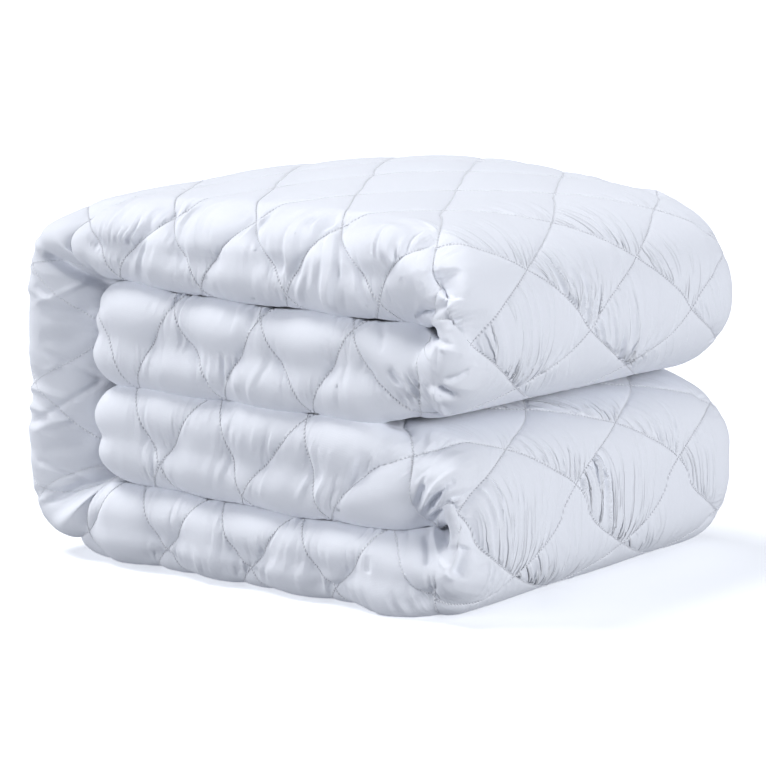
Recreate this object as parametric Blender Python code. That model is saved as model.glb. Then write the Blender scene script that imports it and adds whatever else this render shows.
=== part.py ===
"""Quilted mattress topper, folded into a square bundle four layers high.

The topper is one quilted, filled body. Folded in three across its width it makes a strip with
two soft folded edges, and this strip is then folded twice along its length: both ends come in
to the middle and the halves close over them. Seen from the side the strip is a spiral of one
run: layer 2, upper fold, layer 1, wrap, layer 4, lower fold, layer 3.

Units are metres. X runs from the wrap (-) to the two folds (+), Y from the near edge (-) to the
far edge (+), Z up from the surface that the bundle rests on, which is Z = 0.
"""

import math
from collections import namedtuple

import bmesh
import bpy

# Driving dimensions of the bundle.
LENGTH = 0.536  # from the wrap to the folds
DEPTH = 0.476  # from the near folded edge to the far one
LAYER = 0.0955  # height of one layer where the bundle is fullest
GAP = 0.0024  # air between two layers
THICKNESS = LAYER - GAP  # of the strip, seams apart
HEIGHT = 4 * LAYER
FLOOR_PRESS = 0.006  # how far the lowest puffs are pressed flat

# The quilting: diamonds with 60 degree corners, sewn through.
DIAMOND_SHORT = 0.1012  # short diagonal, along the strip
DIAMOND_LONG = DIAMOND_SHORT * math.sqrt(3)  # long diagonal, across the strip
STEPS = 6  # mesh steps in one diagonal
SEAM_DEPTH_EDGE = 0.011  # valley of a seam on the soft folded edges
SEAM_DEPTH_FACE = 0.0070  # the same on the stretched faces
PRESSED_SHARE = 0.5  # depth left where the layers press against each other
PUFF_POWER = 0.60  # below 1 gives broad puffs with narrow valleys

# The soft edges, and the ends of the strip.
EDGE_BULGE = 0.060  # how far an edge rounds out past the flat of its layer
EDGE_POWER = 2.3  # superellipse of the edge: 2 is an ellipse
INSIDE_COLUMNS = 4  # hidden mesh steps across the inner side of the strip
NOSE = 0.050  # length of the rounded end of the strip
NOSE_STEPS = 5
NOSE_NARROWS = 0.030  # how far the edges draw in towards the tip of the nose
NOSE_BULGE_SHARE = 0.4  # share of the edges' bulge left at the tip
END_THICKNESS = 0.10  # share of the thickness left where the nose is closed
END_CLEARANCE = 0.004  # from the nose to the inside of the wrap

# Bends of the strip, on its outer side.
FOLD_RADIUS = LAYER - GAP / 2
UPPER_CREASE = 0.052  # cloth and filling left outside the crease at the tip of a fold
LOWER_CREASE = 0.038
UPPER_POWER = 2.4  # superellipse of a fold: 2 is round, and more is squarer
LOWER_POWER = 3.0
WRAP_POWER = 2.4
WRAP_RADIUS = 0.1036

# The wrap's edges are flatter than those of the layers, and slant back towards the inside.
WRAP_EDGE_BULGE = 0.040
WRAP_SET_BACK = 0.034
WRAP_BLEND = 0.045  # length of strip over which an edge changes
WRAP_SEAM_SHARE = 0.45  # how deep the seams are there, compared with elsewhere

# How the pattern lies on the strip.
CROSSING_ON_FOLD = math.radians(25)  # a crossing lies this far down from the top of the upper fold
LEAN_FROM = 0.050  # the seams lean over the near edge, from here on the outer side
LEAN_OVER = 0.090  # and over this much cloth, to where they are furthest along
LEAN_FADE = 0.06  # not at the very ends of the strip

# The strip, section by section from the end in the middle: length of a straight run, or the
# turn, outer radius, crease and power of a bend. Stretch is how much longer the cloth is there
# than its pattern. Row is the distance from the middle of the near edge to the first row of
# crossings on the outer side, and lean is how far along the seams lie on the inner side, both
# at the section's end.
RUN = LENGTH - FOLD_RADIUS - WRAP_RADIUS
INNER_RUN = LENGTH - FOLD_RADIUS - THICKNESS - END_CLEARANCE
WRAP_SIDE = HEIGHT - GAP - 2 * WRAP_RADIUS
Section = namedtuple("Section", "name run turn radius crease power stretch row lean")
STRIP = [Section(*row) for row in (
    # name, run, turn in degrees, outer radius, crease, power, stretch, row, lean
    ("layer_2", INNER_RUN, 0, 0, 0, 0, 1.04, 0.048, -0.003),
    ("upper_fold", 0, 180, FOLD_RADIUS, UPPER_CREASE, UPPER_POWER, 1.13, 0.062, -0.015),
    ("layer_1", RUN, 0, 0, 0, 0, 0.965, 0.046, 0.007),
    ("wrap_top", 0, 90, WRAP_RADIUS, 0, WRAP_POWER, 1.13, 0.038, 0.013),
    ("wrap_side", WRAP_SIDE, 0, 0, 0, 0, 1.13, 0.027, 0.015),
    ("wrap_bottom", 0, 90, WRAP_RADIUS, 0, WRAP_POWER, 1.13, 0.011, 0.002),
    ("layer_4", RUN, 0, 0, 0, 0, 0.99, 0.035, 0.004),
    ("lower_fold", 0, 180, FOLD_RADIUS, LOWER_CREASE, LOWER_POWER, 1.10, 0.034, 0.029),
    ("layer_3", INNER_RUN, 0, 0, 0, 0, 1.10, 0.080, -0.009),
)]

# How the bundle has settled. The crown is the full height near its middle and falls by
# CROWN_FALL towards the edges, less at the near end of the folds and over the wrap; each row
# below moves the cloth round one place.
CROWN_FALL = 0.057
CROWN_AT = (-0.015, 0.071)
CROWN_REACH = (0.184, 0.265)
CORNER_RISE = 0.016  # at the near end of the folds
CORNER_REACH = 0.5  # in halves of the bundle's length and depth
WRAP_RISE = 0.008
Settling = namedtuple("Settling", "name centre reach move")
SETTLING = [Settling(*row) for row in (
    # name, centre, reach, move: the last three along x, y and z
    ("upper_crease_rises", (-0.180, -0.200, 0.260), (0.080, 0.120, 0.050), (0, 0, 0.016)),
    ("lower_crease_sags", (0.080, -0.200, 0.090), (0.120, 0.120, 0.050), (0, 0, -0.010)),
    ("upper_pinch", (0.208, -0.235, 0.266), (0.024, 0.040, 0.022), (0, 0.022, 0)),
    ("lower_pinch", (0.225, -0.235, 0.092), (0.024, 0.040, 0.022), (0, 0.022, 0)),
    ("far_upper_pinch", (0.208, 0.235, 0.266), (0.024, 0.040, 0.022), (0, -0.018, 0)),
    ("far_lower_pinch", (0.225, 0.235, 0.092), (0.024, 0.040, 0.022), (0, -0.018, 0)),
)]

CLOTH_COLOUR = (0.80, 0.82, 0.86, 1.0)
CLOTH_ROUGHNESS = 0.85


def smooth_step(x):
    x = min(max(x, 0.0), 1.0)
    return x * x * (3 - 2 * x)


def mix(a, b, t):
    return a + (b - a) * t


def outer_length(section):
    return section.run + math.radians(section.turn) * section.radius


def squarish(c, power):
    """Signed coordinate on a superellipse for the cosine or sine of its angle."""
    return math.copysign(abs(c) ** (2 / power), c)


def walk(distance):
    """Outer and inner surface of the strip, as (x, z) pairs, this far along its outer side."""
    x = LENGTH / 2 - FOLD_RADIUS - INNER_RUN
    z = 2 * LAYER + GAP / 2
    heading = 0.0
    for section in STRIP:
        length = outer_length(section)
        part = min(distance, length)
        radius = section.radius
        if section.turn:
            centre = (x - radius * math.sin(heading), z + radius * math.cos(heading))
            heading += part / radius
            x = centre[0] + radius * math.sin(heading)
            z = centre[1] - radius * math.cos(heading)
        else:
            x += part * math.cos(heading)
            z += part * math.sin(heading)
        if distance <= length:
            break
        distance -= length
    outward = (math.sin(heading), -math.cos(heading))
    inner = (x - outward[0] * THICKNESS, z - outward[1] * THICKNESS)
    if section.turn:
        square = [squarish(c, section.power) for c in outward]
        x = centre[0] + radius * square[0]
        z = centre[1] + radius * square[1]
    if section.crease:
        inner = (centre[0] + (radius - section.crease) * square[0], centre[1] + GAP / 2 * square[1])
    return (x, z), inner


def pattern_lengths():
    """Length of each section on the flat topper."""
    return [outer_length(section) / section.stretch for section in STRIP]


def pattern_length():
    return sum(pattern_lengths())


def pattern_to_outer(along):
    """Distance on the outer side at which the flat topper's own length is this much."""
    distance = 0.0
    for section in STRIP:
        length = outer_length(section)
        if along * section.stretch <= length:
            break
        distance += length
        along -= length / section.stretch
    return distance + along * section.stretch


def pattern_of_upper_crossing():
    """The flat topper's length at the row of crossings that lies on the upper fold."""
    layer, fold = pattern_lengths()[:2]
    return layer + fold * (1 - CROSSING_ON_FOLD / math.pi)


def between_sections(along, column):
    """A column of the strip's table here, which its rows give at the ends of their sections."""
    end = 0.0
    for length, low, high in zip(pattern_lengths(), [STRIP[0]] + STRIP, STRIP):
        if along <= end + length:
            break
        end += length
    share = min(max((along - end) / length, 0.0), 1.0)
    return mix(getattr(low, column), getattr(high, column), share)


def seam_row(along):
    return between_sections(along, "row")


def lean(along, v):
    """How much further along the strip the cloth lies here than its pattern does."""
    share = smooth_step((LEAN_FROM - v) / LEAN_OVER)
    _, _, flat, thick = across(v)
    if thick == -1:
        share = 1 - flat
    fade = smooth_step((pattern_length() - along) / LEAN_FADE) * smooth_step(along / LEAN_FADE)
    return between_sections(along, "lean") * share * fade


def edge_curve(steps=200):
    """Points of a quarter edge from its outermost line to the flat: (arc, out share, thick share)."""
    rows = []
    arc = 0.0
    last = None
    for i in range(steps + 1):
        t = i / steps * math.pi / 2
        out = abs(math.cos(t)) ** (2 / EDGE_POWER)
        thick = abs(math.sin(t)) ** (2 / EDGE_POWER)
        point = (out * EDGE_BULGE, thick * THICKNESS / 2)
        if last:
            arc += math.dist(point, last)
        rows.append((arc, out, thick))
        last = point
    return rows


EDGE = edge_curve()
QUARTER_EDGE = EDGE[-1][0]
FLAT = DEPTH - 2 * EDGE_BULGE
FAR_MIDDLE = 2 * QUARTER_EDGE + FLAT


def on_edge(arc):
    """(out share, thick share) of the quarter edge, this far from its outermost line."""
    arc = min(max(arc, 0.0), QUARTER_EDGE)
    for low, high in zip(EDGE, EDGE[1:]):
        if arc <= high[0]:
            t = (arc - low[0]) / (high[0] - low[0])
            return mix(low[1], high[1], t), mix(low[2], high[2], t)
    return EDGE[-1][1:]


def across(v):
    """Where the cloth is across the strip, v from the middle of the near edge and positive over
    the outer side: (near out share, far out share, share of the flat, thick share)."""
    if abs(v) < QUARTER_EDGE:
        out, thick = on_edge(abs(v))
        return out, 0.0, 0.0, math.copysign(thick, v)
    if v < 0:
        return 0.0, 0.0, (-v - QUARTER_EDGE) / FLAT, -1.0
    if v < QUARTER_EDGE + FLAT:
        return 0.0, 0.0, (v - QUARTER_EDGE) / FLAT, 1.0
    if v < FAR_MIDDLE + QUARTER_EDGE:
        out, thick = on_edge(abs(v - FAR_MIDDLE))
        return 0.0, out, 1.0, math.copysign(thick, FAR_MIDDLE - v)
    return 0.0, 0.0, 1 - (v - FAR_MIDDLE - QUARTER_EDGE) / FLAT, -1.0


def column_range():
    """Steps of the quilting across the strip, from its first row of crossings, that show."""
    step = DIAMOND_LONG / STEPS
    rows = [section.row for section in STRIP]
    first = math.ceil((-QUARTER_EDGE - max(rows)) / step)
    last = math.floor((FAR_MIDDLE + QUARTER_EDGE - min(rows)) / step)
    return range(first, last + 1)


def ring(along):
    """Every column at this station: (v, whether it is quilted)."""
    step = DIAMOND_LONG / STEPS
    shown = [seam_row(along) + k * step for k in column_range()]
    gap = shown[0] + 2 * FAR_MIDDLE - shown[-1]
    hidden = [shown[-1] + gap * (i + 1) / (INSIDE_COLUMNS + 1) for i in range(INSIDE_COLUMNS)]
    return [(v, True) for v in shown] + [(v, False) for v in hidden]


def station_positions():
    """Pattern lengths of the rings: cosine steps in each nose, and steps of the quilting between."""
    total = pattern_length()
    step = DIAMOND_SHORT / STEPS
    origin = pattern_of_upper_crossing()
    first = math.ceil((NOSE - origin) / step)
    last = math.floor((total - NOSE - origin) / step)
    body = [origin + k * step for k in range(first, last + 1)]
    nose = [NOSE * (1 - math.cos(i / NOSE_STEPS * math.pi / 2)) for i in range(NOSE_STEPS)]
    start = [s for s in nose if s < body[0] - step / 2]
    end = [total - s for s in reversed(nose) if total - s > body[-1] + step / 2]
    return start + body + end


def on_wrap(along):
    """1 on the wrap between the middles of its two corners and 0 away from it."""
    lengths = pattern_lengths()
    start = sum(lengths[:3]) + lengths[3] / 2
    end = sum(lengths[:5]) + lengths[5] / 2
    return (smooth_step((along - start) / WRAP_BLEND + 0.5)
            * smooth_step((end - along) / WRAP_BLEND + 0.5))


def nose_share(along):
    """Share of the full thickness, which falls off to a rounded nose at both ends."""
    from_end = min(along, pattern_length() - along)
    if from_end >= NOSE:
        return 1.0
    return max(END_THICKNESS, math.sqrt(1 - (1 - from_end / NOSE) ** 2))


def settle(x, y, z):
    """Moves a point from the regular bundle to where the cloth lies."""
    u = (x - CROWN_AT[0]) / CROWN_REACH[0]
    v = (y - CROWN_AT[1]) / CROWN_REACH[1]
    rise = CROWN_FALL * (math.exp(-(u * u + v * v) / 2) - 1)
    u = x / (LENGTH / 2) - 1
    v = y / (DEPTH / 2) + 1
    rise += CORNER_RISE * math.exp(-(u * u + v * v) / (2 * CORNER_REACH ** 2))
    rise += WRAP_RISE * min(x / (LENGTH / 2), 0) ** 2
    z += z / HEIGHT * rise
    moved = [x, y, z]
    for _, centre, reach, move in SETTLING:
        away = sum(((p - c) / r) ** 2 for p, c, r in zip((x, y, z), centre, reach))
        share = math.exp(-away / 2)
        moved = [m + share * d for m, d in zip(moved, move)]
    return moved


def place(along, v):
    """A point of the cloth before it is quilted."""
    near_out, far_out, flat, thick = across(v)
    outer, inner = walk(pattern_to_outer(along + lean(along, v)))
    share = nose_share(along)
    half = [(o - i) / 2 * share for o, i in zip(outer, inner)]
    middle = [(o + i) / 2 for o, i in zip(outer, inner)]
    x = middle[0] + half[0] * thick
    z = middle[1] + half[1] * thick
    wrap = on_wrap(along)
    bulge = mix(EDGE_BULGE, WRAP_EDGE_BULGE, wrap) * mix(NOSE_BULGE_SHARE, 1.0, share)
    drawn_in = (1 - share) * NOSE_NARROWS + wrap * WRAP_SET_BACK * (1 - thick) / 2
    near = -DEPTH / 2 + bulge + drawn_in
    far = DEPTH / 2 - bulge - drawn_in
    y = mix(near, far, flat) - bulge * near_out + bulge * far_out
    return settle(x, y, z)


def seam_depth(along, v):
    """How deep the seams pull the cloth in at this place."""
    near_out, far_out, _, thick = across(v)
    a = (along - pattern_of_upper_crossing()) / DIAMOND_SHORT
    b = (v - seam_row(along)) / DIAMOND_LONG
    puff = 1.0
    for across_seam in (a + b, a - b):
        f = across_seam - math.floor(across_seam)
        puff *= max(4 * f * (1 - f), 0.0) ** PUFF_POWER
    edge = smooth_step(2 * max(near_out, far_out))
    edge_depth = SEAM_DEPTH_EDGE * mix(1.0, WRAP_SEAM_SHARE, on_wrap(along))
    depth = mix(SEAM_DEPTH_FACE, edge_depth, edge)
    depth *= mix(1.0, PRESSED_SHARE, smooth_step(-thick))
    open_share = (nose_share(along) - END_THICKNESS) / (1 - END_THICKNESS)
    return depth * (1 - puff) * open_share


def split_along_seams(bm, grid, stations):
    """Cuts each four-sided face along the diagonal that its seam takes, so that valleys stay sharp."""
    step = DIAMOND_SHORT / STEPS
    first_row = round((stations[len(stations) // 2] - pattern_of_upper_crossing()) / step)
    first_row -= len(stations) // 2
    first_column = column_range()[0]
    count = len(grid[0]) - 1
    for i in range(len(stations) - 1):
        for j in range(count):
            corners = [grid[i][j], grid[i + 1][j],
                       grid[i + 1][(j + 1) % count], grid[i][(j + 1) % count]]
            face = bm.faces.get(corners)
            a, b = i + first_row, j + first_column
            rising = min((a - b) % STEPS, (b - a) % STEPS)
            falling = min((a + b + 1) % STEPS, (-a - b - 1) % STEPS)
            ends = (corners[0], corners[2]) if rising <= falling else (corners[1], corners[3])
            bmesh.utils.face_split(face, *ends)


def quilted_body():
    """The closed mesh of the folded topper: a grid rolled into a tube, placed, and quilted."""
    stations = station_positions()
    count = len(ring(0.0))
    bm = bmesh.new()
    bmesh.ops.create_grid(bm, x_segments=len(stations) - 1, y_segments=count, size=0.5)
    grid = [[None] * (count + 1) for _ in stations]
    for vertex in bm.verts:
        i = round((vertex.co.x + 0.5) * (len(stations) - 1))
        j = round((vertex.co.y + 0.5) * count)
        grid[i][j] = vertex
    depths = {}
    for along, row in zip(stations, grid):
        for vertex, (v, quilted) in zip(row, ring(along)):
            vertex.co = place(along, v)
            if quilted:
                depths[vertex] = seam_depth(along, v)
        row[-1].co = row[0].co
    bmesh.ops.weld_verts(bm, targetmap={row[-1]: row[0] for row in grid})
    caps = bmesh.ops.holes_fill(bm, edges=[e for e in bm.edges if e.is_boundary])["faces"]
    bmesh.ops.triangulate(bm, faces=caps)
    bmesh.ops.recalc_face_normals(bm, faces=bm.faces)
    bm.normal_update()
    for vertex, move in [(v, v.normal * depth) for v, depth in depths.items()]:
        vertex.co -= move
    for vertex in bm.verts:
        vertex.co.z = max(vertex.co.z - FLOOR_PRESS, 0.0)
    split_along_seams(bm, grid, stations)
    return bm


def cloth_material():
    material = bpy.data.materials.new("white_brushed_cloth")
    material.use_nodes = True
    shader = material.node_tree.nodes["Principled BSDF"]
    shader.inputs["Base Color"].default_value = CLOTH_COLOUR
    shader.inputs["Roughness"].default_value = CLOTH_ROUGHNESS
    shader.inputs["Metallic"].default_value = 0.0
    return material


def main():
    for old in list(bpy.data.objects):
        bpy.data.objects.remove(old)
    collection = bpy.data.collections.new("mattress_topper")
    bpy.context.scene.collection.children.link(collection)
    mesh = bpy.data.meshes.new("quilted_topper")
    bm = quilted_body()
    bm.to_mesh(mesh)
    bm.free()
    mesh.shade_smooth()
    mesh.materials.append(cloth_material())
    collection.objects.link(bpy.data.objects.new("quilted_topper", mesh))


main()
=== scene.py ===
"""Looks of the quilted mattress topper, folded into a bundle four layers high.

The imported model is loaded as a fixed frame. The topper's visible cover is made again on the same
folds and the same quilting lattice as the frame's solid, fine enough for its puffs and creases, and
the sewing thread is laid along its seams.

Units are metres. X runs from the wrap (-) to the two folds (+), Y from the near edge (-) to the
far edge (+), Z up from the surface that the bundle rests on, which is Z = 0.
"""

import functools
import math
from collections import namedtuple

import bmesh
import bpy
import numpy as np
from mathutils import Matrix, Vector
from mathutils.bvhtree import BVHTree


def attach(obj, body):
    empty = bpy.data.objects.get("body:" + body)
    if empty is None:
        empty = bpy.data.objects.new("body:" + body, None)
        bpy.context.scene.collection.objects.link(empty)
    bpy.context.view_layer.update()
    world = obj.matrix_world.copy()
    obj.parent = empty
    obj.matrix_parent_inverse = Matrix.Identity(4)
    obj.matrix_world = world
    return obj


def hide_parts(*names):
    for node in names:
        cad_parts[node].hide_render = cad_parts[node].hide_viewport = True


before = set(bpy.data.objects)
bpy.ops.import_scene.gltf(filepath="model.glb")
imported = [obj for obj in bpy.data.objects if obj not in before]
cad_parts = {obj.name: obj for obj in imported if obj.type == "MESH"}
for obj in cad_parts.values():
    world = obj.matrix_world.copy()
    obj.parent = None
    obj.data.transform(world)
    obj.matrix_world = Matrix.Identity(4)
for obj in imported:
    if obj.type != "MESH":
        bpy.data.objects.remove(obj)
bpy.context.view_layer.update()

bl_info = {
    "name": "Folded Quilted Topper",
    "version": (1, 0, 0),
    "blender": (4, 5, 0),
    "location": "3D View > Sidebar > Topper",
    "description": "Builds the cover, the stitches and the stage of a folded mattress topper",
    "category": "Object",
}

NODE = "quilted_topper"

# ---------------------------------------------------------------- the folded strip

# The strip, section by section from the end in the middle: length of a straight run, or the
# turn, outer radius, crease and power of a bend. Stretch is how much longer the cloth is there
# than its pattern. Row is the distance from the middle of the near edge to the first row of
# crossings on the outer side, and lean is how far along the seams lie on the inner side, both
# at the section's end.
Section = namedtuple("Section", "name run turn radius crease power stretch row lean")

WRAP_RADIUS = 0.1036
WRAP_POWER = 2.4  # superellipse of a bend: 2 is round, and more is squarer
END_CLEARANCE = 0.004  # from the rounded ends to the inside of the wrap
CROSSING_ON_FOLD = math.radians(25)  # a crossing lies this far down from the top of the upper fold
EDGE_BULGE = 0.060  # how far an edge rounds out past the flat of its layer
EDGE_POWER = 2.3  # superellipse of the edge: 2 is an ellipse
NOSE = 0.050  # length of the rounded end of the strip
NOSE_NARROWS = 0.030  # how far the edges draw in towards the tip of the nose
NOSE_BULGE_SHARE = 0.4  # share of the edges' bulge left at the tip
NOSE_POWER = 2.8  # superellipse of the nose: 2 is round, and more is blunter
END_THICKNESS = 0.10  # share of the thickness left where the nose is closed
WRAP_EDGE_BULGE = 0.040
WRAP_SET_BACK = 0.034
WRAP_BLEND = 0.045  # length of strip over which an edge changes
LEAN_FROM = 0.050  # the seams lean over the near edge, from here on the outer side
LEAN_OVER = 0.090  # and over this much cloth, to where they are furthest along
LEAN_FADE = 0.06  # not at the very ends of the strip
FLOOR_PRESS = 0.006  # how far the lowest puffs are pressed flat

# How the bundle has settled: the crown, and where the cloth has moved round one place.
CROWN_FALL = 0.057
CROWN_AT = (-0.015, 0.071)
CROWN_REACH = (0.184, 0.265)
CORNER_RISE = 0.016  # at the near end of the folds
CORNER_REACH = 0.5  # in halves of the bundle's length and depth
WRAP_RISE = 0.008
Settling = namedtuple("Settling", "name centre reach move")
SETTLING = [Settling(*row) for row in (
    # name, centre, reach, move: the last three along x, y and z
    ("upper_crease_rises", (-0.180, -0.200, 0.260), (0.080, 0.120, 0.050), (0, 0, 0.016)),
    ("lower_crease_sags", (0.080, -0.200, 0.090), (0.120, 0.120, 0.050), (0, 0, -0.010)),
    ("upper_pinch", (0.208, -0.235, 0.266), (0.024, 0.040, 0.022), (0, 0.022, 0)),
    ("lower_pinch", (0.225, -0.235, 0.092), (0.024, 0.040, 0.022), (0, 0.022, 0)),
    ("far_upper_pinch", (0.208, 0.235, 0.266), (0.024, 0.040, 0.022), (0, -0.018, 0)),
    ("far_lower_pinch", (0.225, 0.235, 0.092), (0.024, 0.040, 0.022), (0, -0.018, 0)),
)]


def smooth_step(x):
    x = np.clip(x, 0.0, 1.0)
    return x * x * (3 - 2 * x)


def ramp(x, start, stop):
    """0 up to start and 1 from stop on, with a smooth rise between them."""
    return smooth_step((x - start) / (stop - start))


def mix(a, b, t):
    return a + (b - a) * t


class FoldedStrip:
    """Where the cloth of the folded topper lies, for arrays of places on its pattern.

    along is the flat topper's own length from its end in the middle of the bundle. v is the
    distance round the strip from the middle of its near edge, positive over the outer side.
    """

    def __init__(self, sizes):
        self.length, self.depth = sizes.length, sizes.depth
        self.layer, self.gap = sizes.layer, sizes.gap
        self.thickness = self.layer - self.gap
        self.short = sizes.diamond
        self.long = sizes.diamond * math.sqrt(3)
        fold = self.layer - self.gap / 2
        run = self.length - fold - WRAP_RADIUS
        inner = self.length - fold - self.thickness - END_CLEARANCE
        side = 4 * self.layer - self.gap - 2 * WRAP_RADIUS
        self.sections = [Section(*row) for row in (
            # name, run, turn in degrees, outer radius, crease, power, stretch, row, lean
            ("layer_2", inner, 0, 0, 0, 0, 1.04, 0.048, -0.003),
            ("upper_fold", 0, 180, fold, 0.052, 2.4, 1.13, 0.062, -0.015),
            ("layer_1", run, 0, 0, 0, 0, 0.965, 0.046, 0.007),
            ("wrap_top", 0, 90, WRAP_RADIUS, 0, WRAP_POWER, 1.13, 0.038, 0.013),
            ("wrap_side", side, 0, 0, 0, 0, 1.13, 0.027, 0.015),
            ("wrap_bottom", 0, 90, WRAP_RADIUS, 0, WRAP_POWER, 1.13, 0.011, 0.002),
            ("layer_4", run, 0, 0, 0, 0, 0.99, 0.035, 0.004),
            ("lower_fold", 0, 180, fold, 0.038, 3.0, 1.10, 0.034, 0.029),
            ("layer_3", inner, 0, 0, 0, 0, 1.10, 0.080, -0.009),
        )]
        self.start = (self.length / 2 - fold - inner, 2 * self.layer + self.gap / 2)
        self.lengths = np.array([self.outer_length(s) / s.stretch for s in self.sections])
        self.ends = np.cumsum(self.lengths)
        self.total = self.ends[-1]
        self.crossing = self.lengths[0] + self.lengths[1] * (1 - CROSSING_ON_FOLD / math.pi)
        self.edge_arc, self.edge_out, self.edge_thick = self.quarter_edge()
        self.quarter = self.edge_arc[-1]
        self.flat = self.depth - 2 * EDGE_BULGE
        self.far_middle = 2 * self.quarter + self.flat

    @staticmethod
    def outer_length(section):
        return section.run + math.radians(section.turn) * section.radius

    def quarter_edge(self, steps=400):
        """Arc, share of the bulge and share of the thickness, from an edge's outermost line."""
        t = np.linspace(0, math.pi / 2, steps + 1)
        out = np.abs(np.cos(t)) ** (2 / EDGE_POWER)
        out[-1] = 0
        thick = np.abs(np.sin(t)) ** (2 / EDGE_POWER)
        steps = np.hypot(np.diff(out) * EDGE_BULGE, np.diff(thick) * self.thickness / 2)
        return np.concatenate([[0], np.cumsum(steps)]), out, thick

    def between(self, along, column):
        """A column of the sections' table here, which its rows give at the sections' ends."""
        values = [getattr(s, column) for s in self.sections]
        return np.interp(along, np.concatenate([[0], self.ends]), [values[0]] + values)

    def within(self, along, name):
        """Share of the way through a section, below 0 before it and above 1 after it."""
        index = [s.name for s in self.sections].index(name)
        return (along - (self.ends[index] - self.lengths[index])) / self.lengths[index]

    def seam_row(self, along):
        return self.between(along, "row")

    def heading(self, along):
        """The way the strip runs, in radians: 0 is towards the folds and pi towards the wrap."""
        turns = np.cumsum([0] + [math.radians(s.turn) for s in self.sections])
        return np.interp(along, np.concatenate([[0], self.ends]), turns)

    def walk(self, along):
        """Outer and inner surface of the strip as (x, z), and whether it is in each section."""
        outer = np.empty(along.shape + (2,))
        inner = np.empty(along.shape + (2,))
        x, z = self.start
        heading = 0.0
        begin = 0.0
        for index, (section, length) in enumerate(zip(self.sections, self.lengths)):
            low = -np.inf if index == 0 else begin
            high = np.inf if index == len(self.sections) - 1 else begin + length
            here = (along >= low) & (along <= high)
            part = (along[here] - begin) * section.stretch
            radius = section.radius
            if section.turn:
                centre = (x - radius * math.sin(heading), z + radius * math.cos(heading))
                angle = heading + part / radius
                outward = np.stack([np.sin(angle), -np.cos(angle)], -1)
                square = np.copysign(np.abs(outward) ** (2 / section.power), outward)
                outer[here] = centre + radius * square
                if section.crease:
                    scale = (radius - section.crease, self.gap / 2)
                    inner[here] = centre + square * scale
                else:
                    inner[here] = centre + (radius - self.thickness) * outward
                heading += math.radians(section.turn)
                x = centre[0] + radius * math.sin(heading)
                z = centre[1] - radius * math.cos(heading)
            else:
                ahead = np.array([math.cos(heading), math.sin(heading)])
                outward = np.array([math.sin(heading), -math.cos(heading)])
                outer[here] = (x, z) + part[:, None] * ahead
                inner[here] = outer[here] - outward * self.thickness
                x += section.run * ahead[0]
                z += section.run * ahead[1]
            begin += length
        return outer, inner

    def once_round(self, v):
        """v within one turn round the strip, so that it is negative over the inner side."""
        return (v + self.far_middle) % (2 * self.far_middle) - self.far_middle

    def across(self, v):
        """(near out share, far out share, share of the flat, thick share) round the strip."""
        v = self.once_round(v)
        near = np.interp(np.abs(v), self.edge_arc, self.edge_out)
        from_far = self.far_middle - np.abs(v)
        far = np.interp(from_far, self.edge_arc, self.edge_out)
        flat = np.clip((np.abs(v) - self.quarter) / self.flat, 0, 1)
        thick = np.interp(np.minimum(np.abs(v), from_far), self.edge_arc, self.edge_thick)
        return near, far, flat, np.copysign(thick, v)

    def lean(self, along, v):
        """How much further along the strip the cloth lies here than its pattern does."""
        _, _, flat, thick = self.across(v)
        v = self.once_round(v)
        share = np.where(thick <= -1, 1 - flat, smooth_step((LEAN_FROM - v) / LEAN_OVER))
        share = np.where((v < 0) & (flat >= 1), 0.0, share)
        fade = smooth_step((self.total - along) / LEAN_FADE) * smooth_step(along / LEAN_FADE)
        return self.between(along, "lean") * share * fade

    def on_wrap(self, along):
        """1 on the wrap between the middles of its two corners and 0 away from it."""
        start = self.ends[2] + self.lengths[3] / 2
        end = self.ends[4] + self.lengths[5] / 2
        return (smooth_step((along - start) / WRAP_BLEND + 0.5)
                * smooth_step((end - along) / WRAP_BLEND + 0.5))

    def nose_share(self, along):
        """Share of the full thickness, which falls off to a rounded nose at both ends."""
        from_end = np.clip(np.minimum(along, self.total - along) / NOSE, 0, 1)
        share = (1 - (1 - from_end) ** NOSE_POWER) ** (1 / NOSE_POWER)
        return np.maximum(share, END_THICKNESS)

    def place(self, along, v):
        """Points of the cloth in the regular bundle, before it settles and before it is quilted."""
        near_out, far_out, flat, thick = self.across(v)
        outer, inner = self.walk(along + self.lean(along, v))
        share = self.nose_share(along)
        centre = (outer + inner) / 2 + (outer - inner) / 2 * (share * thick)[..., None]
        wrap = self.on_wrap(along)
        bulge = mix(EDGE_BULGE, WRAP_EDGE_BULGE, wrap) * mix(NOSE_BULGE_SHARE, 1.0, share)
        drawn_in = (1 - share) * NOSE_NARROWS + wrap * WRAP_SET_BACK * (1 - thick) / 2
        near = -self.depth / 2 + bulge + drawn_in
        far = self.depth / 2 - bulge - drawn_in
        y = mix(near, far, flat) - bulge * near_out + bulge * far_out
        return np.stack([centre[..., 0], y, centre[..., 1]], -1)

    def settle(self, points):
        """Moves points from the regular bundle to where the cloth lies."""
        x, y, z = np.moveaxis(points, -1, 0)
        u = (x - CROWN_AT[0]) / CROWN_REACH[0]
        v = (y - CROWN_AT[1]) / CROWN_REACH[1]
        rise = CROWN_FALL * (np.exp(-(u * u + v * v) / 2) - 1)
        u = x / (self.length / 2) - 1
        v = y / (self.depth / 2) + 1
        rise += CORNER_RISE * np.exp(-(u * u + v * v) / (2 * CORNER_REACH ** 2))
        rise += WRAP_RISE * np.minimum(x / (self.length / 2), 0) ** 2
        lifted = np.stack([x, y, z + z / (4 * self.layer) * rise], -1)
        moved = lifted.copy()
        for row in SETTLING:
            away = (((lifted - row.centre) / row.reach) ** 2).sum(-1)
            moved += np.exp(-away / 2)[..., None] * row.move
        return moved


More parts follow.
